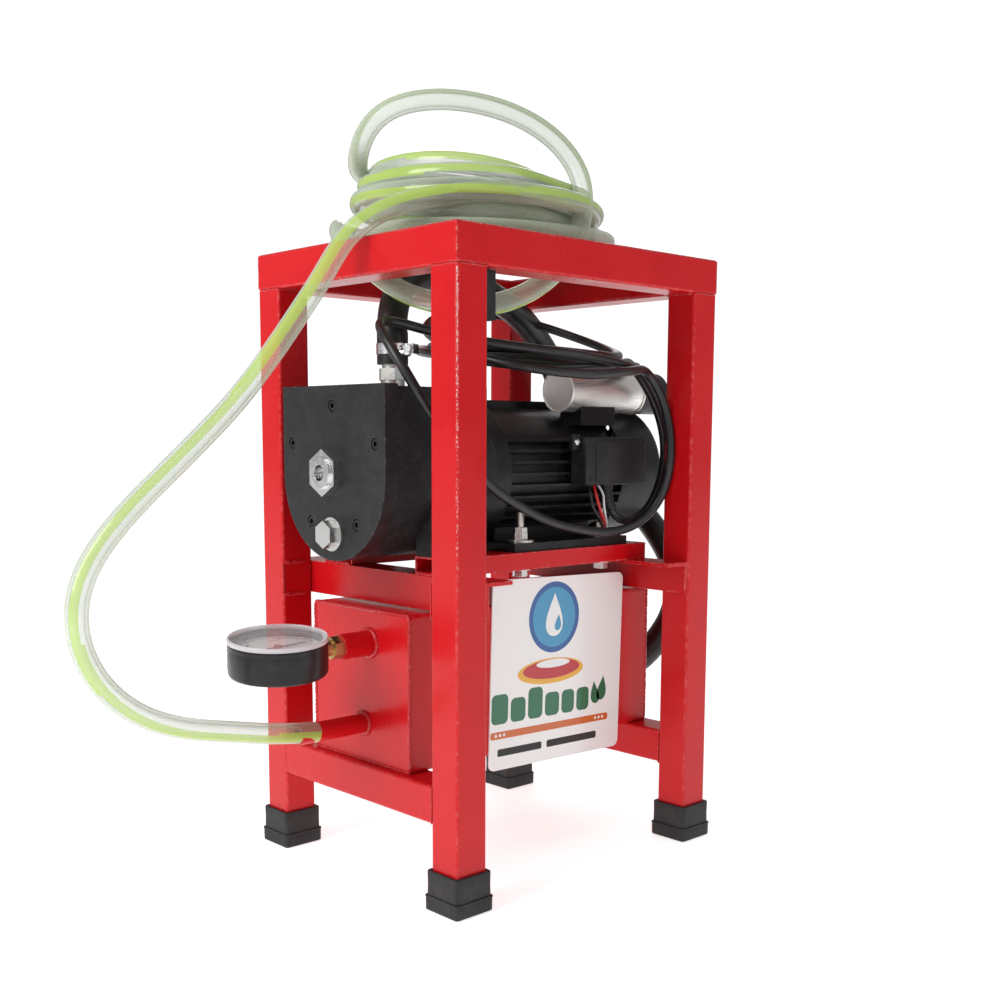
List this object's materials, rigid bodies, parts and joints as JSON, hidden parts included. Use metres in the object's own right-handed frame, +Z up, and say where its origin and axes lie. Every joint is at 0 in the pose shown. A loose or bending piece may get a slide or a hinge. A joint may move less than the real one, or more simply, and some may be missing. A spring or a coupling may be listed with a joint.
{
  "type": "milking machine",
  "caption": "Portable milking machine: a red square-tube stand with a motor-driven vane vacuum pump on its shelf, a vacuum tank with a gauge below, and a coiled clear hose on top.",
  "frame": {"origin": "on the floor below the middle of the machine's box, measured without the free hose and the mains cord", "axes": "+Z up, +X from the pump to the motor along the shaft, -Y the side with the name plate and the terminal box"},
  "size_m": [0.7523, 0.336, 0.8084],
  "materials": {
    "red_paint": "gloss",
    "black_rubber": "matte",
    "name_plate": "gloss",
    "brass": "satin",
    "gauge_black": "satin",
    "dial_white": "matte",
    "needle_black": "satin",
    "lens": "gloss",
    "pump_iron": "satin",
    "machined_steel": "satin",
    "carbon_vane": "matte",
    "black_steel": "satin",
    "chrome": "gloss",
    "zinc": "satin",
    "clamp_steel": "gloss",
    "black_hose": "satin",
    "motor_black": "satin",
    "copper_winding": "satin",
    "black_plastic": "satin",
    "can_aluminium": "satin",
    "rocker_plastic": "gloss",
    "cord_rubber": "satin",
    "clear_hose": "gloss"
  },
  "bodies": {
    "stand": {"top_beam_front": "red_paint", "top_beam_rear": "red_paint", "top_beam_left": "red_paint", "top_beam_right": "red_paint", "leg_front_left": "red_paint", "leg_front_right": "red_paint", "leg_rear_left": "red_paint", "leg_rear_right": "red_paint", "foot_caps": "black_rubber", "low_beam_left": "red_paint", "low_beam_right": "red_paint", "shelf_angle_left": "red_paint", "shelf_angle_right": "red_paint", "rail_front": "red_paint", "rail_rear": "red_paint", "vacuum_tank": "red_paint", "gauge_stub": "red_paint", "hose_nipple": "red_paint", "suction_stub": "red_paint", "name_plate": "name_plate", "gauge_adapter": "brass", "gauge_case": "gauge_black", "gauge_dial": "dial_white", "gauge_lens": "lens", "pump_body": "pump_iron", "pump_cover": "pump_iron", "pump_rear_cover": "pump_iron", "cover_screws": "black_steel", "exhaust_fitting": "chrome", "oil_plug": "zinc", "inlet_nipple": "zinc", "hose_clamps": "clamp_steel", "suction_hose": "black_hose", "motor_body": "motor_black", "motor_front_bell": "motor_black", "motor_rear_bell": "motor_black", "motor_stator": "copper_winding", "motor_bearings": "machined_steel", "fan_cowl": "motor_black", "motor_base": "motor_black", "base_bolts": "zinc", "base_washers": "zinc", "terminal_box": "black_plastic", "terminal_cover": "black_plastic", "capacitor_can": "can_aluminium", "capacitor_cap": "black_plastic", "switch_box": "black_plastic", "cord_gland": "black_plastic", "mains_cord": "cord_rubber", "cord_coil": "cord_rubber", "cord_plug": "cord_rubber", "vacuum_hose": "clear_hose", "hose_coil": "clear_hose"},
    "shaft": {"pump_rotor": "machined_steel", "pump_vanes": "carbon_vane", "motor_rotor": "machined_steel", "motor_fan": "black_plastic"},
    "needle": {"gauge_needle": "needle_black"},
    "rocker": {"switch_rocker": "rocker_plastic"}
  },
  "joints": [
    {"name": "shaft_spin", "type": "hinge", "parent": "stand", "child": "shaft", "pos_m": [0.038, 0, 0.418], "axis": [1, 0, 0], "continuous": true},
    {"name": "needle_turn", "type": "hinge", "parent": "stand", "child": "needle", "pos_m": [-0.251, -0.015, 0.2665], "axis": [-0.0539, -0.0802, 0.9953], "range_deg": [0, 270], "stiffness_Nm_per_rad": 0.00002},
    {"name": "rocker_tilt", "type": "hinge", "parent": "stand", "child": "rocker", "pos_m": [-0.1, -0.136, 0.588], "axis": [0, 1, 0], "range_deg": [-8, 8]}
  ]
}
